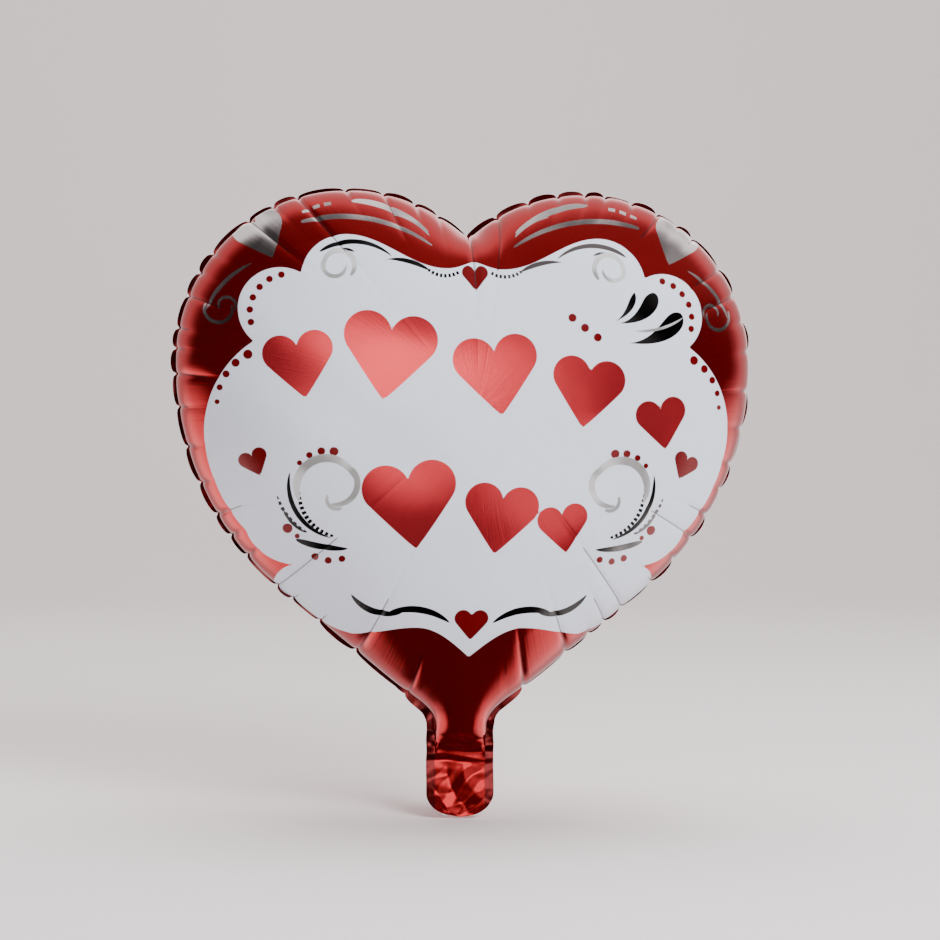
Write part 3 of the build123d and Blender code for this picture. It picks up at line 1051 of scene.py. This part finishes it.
def printed_foil(name, looks):
    """The front's finish. Where ink, bare red and bare silver lie comes from signed distances in
    millimetres: the panel's and the hearts' at the vertices, the small marks' from node groups."""
    n, red, rough, bump, crease = foil_base(name, looks)
    x, z, (dots, dark, scrolls, border) = printed_marks(n)

    def inked(inside):
        """1 inside a mark and 0 outside it, with a soft edge about 0.4 mm wide."""
        return n.math("MULTIPLY_ADD", inside, INK_EDGE, 0.5, clamp=True)

    def either(a, b):
        return n.math("MAXIMUM", a, b)

    white = inked(n.attribute("white_panel"))
    off = n.minus(1.0, white)
    large = n.times(inked(n.attribute("large_hearts")), white)
    small = n.times(either(inked(n.attribute("small_hearts")), inked(dots)), white)
    # Painted reflection: the dark strokes are painted pale silver at the top right, and so are the
    # leaves' thin ends, where the bare foil catches light
    top_right = n.times(n.range(x, 10.0, 40.0), n.range(z, 292.0, 300.0))
    leaves = n.times(n.range(x, 80.0, 84.0), n.range(z, 245.0, 255.0))
    thin_ends = n.times(leaves, n.range(n.plus(x, z), 366.0, 384.0, 1.0, 0.0))
    lit = either(top_right, thin_ends)
    dark = n.times(inked(dark), white)
    bright = n.times(inked(scrolls), white)
    edging = n.times(either(inked(n.attribute("silver_hearts")), inked(border)), off)
    silver = either(either(dark, bright), edging)
    ink = n.times(white, n.minus(1.0, either(either(large, small), silver)))
    mottle, patch = n.noise(170.0, 4.0), n.noise(26.0, 2.0)
    paint = n.mix(mottle, rgba(looks.ink_white, 0.95), rgba(looks.ink_white, 1.03))
    motif = n.mix(n.noise(19.0, 2.0), rgba(looks.motif_red, 0.8), rgba(looks.motif_red, 1.2))
    # Painted reflection: the bare silver of the dark strokes and leaves is painted near black, as a
    # reflection of dark surroundings, and pale silver where lit
    shaded_silver = n.mix(n.range(patch, 0.5, 0.72), rgba(looks.silver, 0.04), rgba(looks.silver, 0.3))
    shaded_silver = n.mix(n.times(lit, 0.8), shaded_silver, rgba(looks.silver, 0.8))
    plated = n.mix(n.range(patch, 0.38, 0.55), rgba(looks.silver, 0.48), rgba(looks.silver, 1.1))
    color = n.mix(small, n.mix(white, red, paint), rgba(looks.foil_red, 0.34))
    color = n.mix(large, color, motif)
    color = n.mix(either(bright, edging), n.mix(dark, color, shaded_silver), plated)
    # Painted shade: near black along the creases, over ink and foil alike
    color = n.mix(n.times(crease, 0.72), color, (0.04, 0.026, 0.028, 1))
    satin = n.blend(ink, n.blend(large, rough, looks.motif_roughness), looks.ink_roughness)
    satin = n.math("MULTIPLY_ADD", mottle, 0.05, n.blend(silver, satin, 0.16))
    satin = n.blend(bright, satin, 0.34)
    metal = n.blend(ink, n.blend(large, n.blend(silver, 0.92, 1.0), 0.82), 0.04)
    metal = n.blend(bright, n.blend(small, metal, 0.4), 0.5)
    n.drive(Base_Color=color, Metallic=metal, Roughness=satin, Normal=bump)
    return n.material


def weld_finish(name, looks):
    """The fused layer's cut edge and face: duller red with fine crimp ribs across it."""
    n = Finish(name)
    ribs = n.noise(700.0, 2.0)
    red = n.mix(ribs, rgba(looks.foil_red, 0.35), rgba(looks.foil_red, 0.8))
    rough, bump = n.blend(ribs, 0.28, 0.42), n.bump(ribs, 0.00008, 0.5)
    n.drive(Base_Color=red, Metallic=0.7, Roughness=rough, Normal=bump)
    return n.material


def valve_finish(name):
    """Clear hazy film with faint draw lines."""
    n = Finish(name)
    haze = n.noise(200.0, 3.0, (1.0, 1.0, 0.1))
    milky = n.mix(haze, (0.72, 0.72, 0.69, 1), (0.85, 0.85, 0.82, 1))
    n.drive(Base_Color=milky, Roughness=n.blend(haze, 0.28, 0.42))
    n.drive(Normal=n.bump(haze, 0.00003, 0.4), Transmission_Weight=0.35, IOR=1.5)
    return n.material


def stage_finish(name, color):
    """Matt paper, very slightly uneven."""
    n = Finish(name)
    grain = n.noise(3.0, 4.0)
    paper = n.mix(grain, rgba(color, 0.985), rgba(color, 1.015))
    n.drive(Base_Color=paper, Roughness=n.blend(grain, 0.75, 0.85))
    return n.material


# ----------------------------------------------------------------------------------- settings


class BalloonShape(bpy.types.PropertyGroup):
    """Sizes, and how fine and how creased the films are"""

    hem: FloatProperty(
        name="Hem", description="Width of the fused edge",
        default=6.0 * MM, unit="LENGTH",
    )
    depth: FloatProperty(
        name="Half depth", description="Mid plane to the front of the filled part",
        default=float(PANEL_HIGH[1] - PANEL_LOW[1]) * MM - 0.3 * MM, unit="LENGTH",
    )
    rows: IntProperty(
        name="Rows", description="Rings of faces from the middle to the edge",
        default=122, min=20,
    )
    pitch: FloatProperty(
        name="Pitch", description="Distance between columns along the edge",
        default=1.62 * MM, unit="LENGTH",
    )
    pucker: FloatProperty(
        name="Pucker", description="How deep the edge's creases are",
        default=1.0, subtype="FACTOR",
    )
    crinkle: FloatProperty(
        name="Crinkle", description="Height of the tail's facets",
        default=1.45 * MM, unit="LENGTH",
    )
    tilt: FloatProperty(
        name="Tail tilt", description="The tail's lean to the front",
        default=math.radians(TAIL_TILT), subtype="ANGLE",
    )


class BalloonLooks(bpy.types.PropertyGroup):
    """Colours and roughnesses of the finishes"""

    foil_red: FloatVectorProperty(
        name="Foil red", description="Transparent red over foil",
        default=(0.50, 0.006, 0.010), subtype="COLOR",
    )
    motif_red: FloatVectorProperty(
        name="Motif red", description="Satin red of the hearts",
        default=(0.80, 0.04, 0.055), subtype="COLOR",
    )
    ink_white: FloatVectorProperty(
        name="White ink", description="Printed white",
        default=(0.69, 0.75, 0.85), subtype="COLOR",
    )
    silver: FloatVectorProperty(
        name="Silver", description="Bare foil",
        default=(0.86, 0.86, 0.85), subtype="COLOR",
    )
    floor: FloatVectorProperty(
        name="Floor", description="Floor and backdrop",
        default=(0.92, 0.84, 0.83), subtype="COLOR",
    )
    foil_roughness: FloatProperty(
        name="Foil roughness", description="Of the red mirror foil",
        default=0.07, subtype="FACTOR",
    )
    motif_roughness: FloatProperty(
        name="Motif roughness", description="Of red foil on the white panel",
        default=0.18, subtype="FACTOR",
    )
    ink_roughness: FloatProperty(
        name="Ink roughness", description="Of the white ink",
        default=0.5, subtype="FACTOR",
    )


_KEPT = {}


def film():
    """The film grid from the current settings, worked out once and kept for the other operators."""
    shape = bpy.context.scene.balloon_shape
    if "grid" not in _KEPT:
        lengths = [length / MM for length in (shape.hem, shape.depth, shape.pitch, shape.crinkle)]
        _KEPT["grid"] = Film(*lengths, shape.rows, math.degrees(shape.tilt), shape.pucker)
    return _KEPT["grid"]


def attach(obj, nodes):
    """Makes a piece stand for CAD nodes by hiding them, and bakes its transform into its mesh."""
    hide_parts(*nodes)
    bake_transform(obj)


class BALLOON_OT_panels(bpy.types.Operator):
    """Adds the front and back film panels with their hem, neck and tail"""

    bl_idname = "balloon.panels"
    bl_label = "Film panels"

    def execute(self, context):
        grid, looks = film(), context.scene.balloon_looks
        for name, sign, nodes in (
            ("front_film", -1, ("front_panel", "tail_front")),
            ("back_film", 1, ("back_panel", "tail_back")),
        ):
            points, quads, cap, pattern, prints, creases = grid.panel(sign)
            obj = put_mesh(name, points, quads, cap)
            put_uv(obj, "OFBake", filling_square(pattern))
            put_uv(obj, "rim", rim_place(grid, prints) * MM)
            # Distance to the nearest crease, which the finishes use to paint shade along the creases
            put_attribute(obj, "crease", creases)
            put_attribute(obj, "hem", grid.hem_share(prints))
            if sign < 0:
                put_uv(obj, "print", prints * MM)
                put_attribute(obj, "white_panel", white_panel(prints))
                put_attribute(obj, "large_hearts", hearts(prints, LARGE_HEARTS))
                put_attribute(obj, "small_hearts", hearts(prints, SMALL_HEARTS))
                put_attribute(obj, "silver_hearts", silver_hearts(prints))
                obj.data.materials.append(printed_foil("printed_red_foil", looks))
            else:
                obj.data.materials.append(plain_foil("plain_red_foil", looks))
            attach(obj, nodes)
        return {"FINISHED"}


class BALLOON_OT_weld(bpy.types.Operator):
    """Adds the fused layer between the two panels' hems"""

    bl_idname = "balloon.weld"
    bl_label = "Fused hem layer"

    def execute(self, context):
        obj = put_mesh("hem_weld", *film().weld())
        obj.data.materials.append(weld_finish("fused_edge", context.scene.balloon_looks))
        attach(obj, ("seam_weld", "tail_weld_left", "tail_weld_right"))
        return {"FINISHED"}


class BALLOON_OT_valve(bpy.types.Operator):
    """Adds the two clear films of the valve"""

    bl_idname = "balloon.valve"
    bl_label = "Valve films"

    def execute(self, context):
        clear = valve_finish("clear_valve_film")
        for name, sign, nodes in (
            ("valve_film_front", -1, ("valve_front", "valve_mouth_front")),
            ("valve_film_back", 1, ("valve_back", "valve_mouth_back")),
        ):
            points, quads, pattern = film().valve(sign, VALVE_HIGH[0])
            obj = put_mesh(name, points, quads)
            obj.data.materials.append(clear)
            attach(obj, nodes)
        return {"FINISHED"}


class BALLOON_OT_stage(bpy.types.Operator):
    """Adds the floor, the soft lights and the camera"""

    bl_idname = "balloon.stage"
    bl_label = "Stage"

    def execute(self, context):
        self.floor(context.scene.balloon_looks)
        self.light("front_soft", (1.15, -1.7, 1.45), (1.1, 0.9), 70.0)
        self.light("top_soft", (0.1, 0.2, 2.2), (2.0, 1.6), 50.0)
        self.surround(context.scene)
        self.camera()
        return {"FINISHED"}

    def floor(self, looks):
        """A sheet of paper just under the tail's end, which turns up in a quarter circle behind."""
        rows, columns = 60, 9
        t = np.linspace(0, 1, rows)
        depth = np.where(t < 0.5, -2.4 + 7.8 * t, 1.5 + 1.2 * np.sin((t - 0.5) * math.pi))
        rise = np.where(t < 0.5, 0.0, 1.2 * (1 - np.cos((t - 0.5) * math.pi)))
        rise = rise + np.where(t > 0.98, 2.0, 0.0) + (CAD_BOX[0][2] - 0.0008)
        x, depth = np.meshgrid(np.linspace(-4, 4, columns), depth)
        points = np.stack([x, depth, np.repeat(rise[:, None], columns, 1)], -1)
        quads = cells_between(np.arange(rows * columns).reshape(rows, columns))[:, OTHER_WAY]
        floor = put_mesh("floor", points.reshape(-1, 3) / MM, quads)
        floor.data.materials.append(stage_finish("stage_paper", looks.floor))
        floor.visible_glossy = False

    def surround(self, scene):
        """A studio round the balloon, by direction: a broad soft source in front and a little up, dark
        beside it, soft sources low at the sides, and pale walls behind and overhead."""
        world = bpy.data.worlds.new("studio")
        world.use_nodes = True
        g = Graph(world.node_tree)
        toward = g.add("ShaderNodeTexCoord").outputs["Generated"]

        def facing(direction, low, high, power):
            """Brightness that rises from nothing at one angle off a direction to full at another."""
            dot = g.add("ShaderNodeVectorMath", operation="DOT_PRODUCT")
            g.put(dot, 0, toward)
            length = math.sqrt(sum(c * c for c in direction))
            g.put(dot, 1, tuple(c / length for c in direction))
            edge, full = (math.cos(math.radians(angle)) for angle in (low, high))
            return g.range(dot.outputs["Value"], edge, full, 0.0, power)

        parts = [
            facing((-0.12, -1, 0.24), 22, 10, 1.6),  # the front source and the glow round it
            facing((-0.12, -1, 0.24), 40, 8, 1.1),
            facing((0.50, -1, -0.38), 20, 6, 0.9),  # low at the front right
            facing((0.8, 0.15, -0.5), 35, 10, 1.9),  # low at both sides
            facing((-0.8, 0.15, -0.5), 35, 10, 1.9),
            facing((0, 1, 0.15), 84, 64, 0.85),  # behind
            facing((0.2, 1, 0.35), 34, 8, 1.1),
            facing((0.4, 0.2, 1), 62, 28, 0.25),  # overhead
        ]
        level = g.plus(g.joined("ADD", parts), 0.035)
        tint = g.mix(g.times(level, 0.8, clamp=True), (0.95, 0.78, 0.80, 1), (1.0, 0.90, 0.89, 1))
        back = world.node_tree.nodes["Background"]
        g.put(back, 0, tint)
        g.put(back, 1, level)
        scene.world = world

    def light(self, name, place, size, power):
        """A rectangular light that faces the balloon's middle."""
        data = bpy.data.lights.new(name, "AREA")
        data.shape = "RECTANGLE"
        data.size, data.size_y = size
        data.energy = power
        data.color = (0.93, 0.97, 1.0)
        obj = bpy.data.objects.new(name, data)
        obj.location = place
        target = (CAD_BOX[0] + CAD_BOX[1]) / 2
        obj.rotation_euler = (target - obj.location).to_track_quat("-Z", "Y").to_euler()
        obj.visible_glossy = False
        bpy.context.scene.collection.objects.link(obj)

    def camera(self):
        """A long lens a little to the left and above, turned slightly about its own axis."""
        azimuth, elevation, roll = (math.radians(angle) for angle in (-6.0, 2.0, 0.7))
        distance = 1.452
        target = Vector((0.0045, 0, 0.175))
        level = math.cos(elevation)
        back = Vector((math.sin(azimuth) * level, -math.cos(azimuth) * level, math.sin(elevation)))
        data = bpy.data.cameras.new("camera")
        data.lens, data.sensor_width = 85.0, 36.0
        obj = bpy.data.objects.new("camera", data)
        turn = (-back).to_track_quat("-Z", "Y").to_matrix().to_4x4() @ Matrix.Rotation(roll, 4, "Z")
        obj.matrix_world = Matrix.Translation(target + back * distance) @ turn
        bpy.context.scene.collection.objects.link(obj)
        bpy.context.scene.camera = obj


class BALLOON_PT_panel(bpy.types.Panel):
    """Lists the balloon's operators and settings"""

    bl_label = "Heart foil balloon"
    bl_idname = "BALLOON_PT_panel"
    bl_space_type = "VIEW_3D"
    bl_region_type = "UI"
    bl_category = "Balloon"

    def draw(self, context):
        for operator in OPERATORS:
            self.layout.operator(operator.bl_idname)
        for group in (context.scene.balloon_shape, context.scene.balloon_looks):
            for name in group.__annotations__:
                self.layout.prop(group, name)


OPERATORS = (BALLOON_OT_weld, BALLOON_OT_panels, BALLOON_OT_valve, BALLOON_OT_stage)
CLASSES = (BalloonShape, BalloonLooks, *OPERATORS, BALLOON_PT_panel)


def register():
    for cls in CLASSES:
        bpy.utils.register_class(cls)
    bpy.types.Scene.balloon_shape = PointerProperty(type=BalloonShape)
    bpy.types.Scene.balloon_looks = PointerProperty(type=BalloonLooks)


def unregister():
    del bpy.types.Scene.balloon_shape
    del bpy.types.Scene.balloon_looks
    for cls in reversed(CLASSES):
        bpy.utils.unregister_class(cls)


def main():
    """Builds everything in order."""
    register()
    for operator in OPERATORS:
        space, name = operator.bl_idname.split(".")
        getattr(getattr(bpy.ops, space), name)()


if __name__ == "__main__":
    main()
